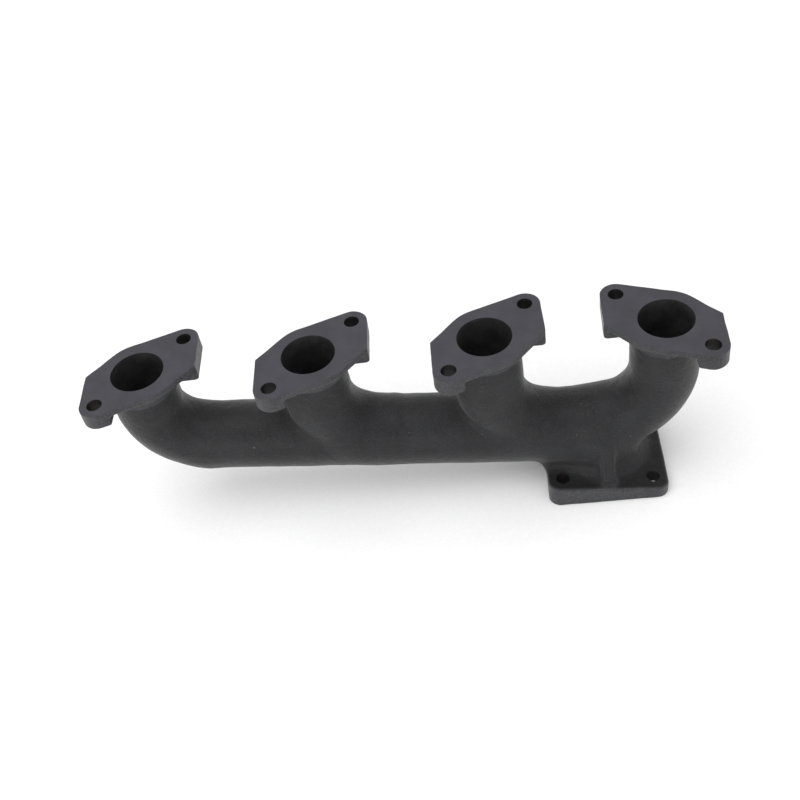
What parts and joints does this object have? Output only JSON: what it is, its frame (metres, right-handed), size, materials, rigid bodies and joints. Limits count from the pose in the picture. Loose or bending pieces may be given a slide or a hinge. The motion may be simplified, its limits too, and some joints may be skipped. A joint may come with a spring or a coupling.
{
  "type": "exhaust manifold",
  "caption": "Cast-iron log exhaust manifold: flanged runners bend from a row of ports into one sloping tube, with a square bolted outlet flange on the far side.",
  "frame": {"origin": "centre of port 1 on the gasket face", "axes": "+X along the row of ports from port 1 to port 4, +Z out of the port faces into the cylinder head, -Z out of the outlet flange"},
  "size_m": [0.404, 0.08, 0.125],
  "materials": {
    "cast_skin": "as-cast sand texture under a matt black heat coating",
    "flange_iron": "machined faces under the same matt black coating, as-cast edges"
  },
  "bodies": {
    "root": {"port_flange_1": "flange_iron", "port_flange_2": "flange_iron", "port_flange_3": "flange_iron", "port_flange_4": "flange_iron", "runner_stub_1": "cast_skin", "runner_stub_2": "cast_skin", "runner_stub_3": "cast_skin", "runner_stub_4": "cast_skin", "runner_elbow_1": "cast_skin", "runner_elbow_2": "cast_skin", "runner_elbow_3": "cast_skin", "runner_elbow_4": "cast_skin", "log_section_1": "cast_skin", "log_section_2": "cast_skin", "log_section_3": "cast_skin", "collector": "cast_skin", "outlet_flange": "flange_iron", "front_gusset": "cast_skin", "rear_gusset": "cast_skin"}
  },
  "joints": []
}
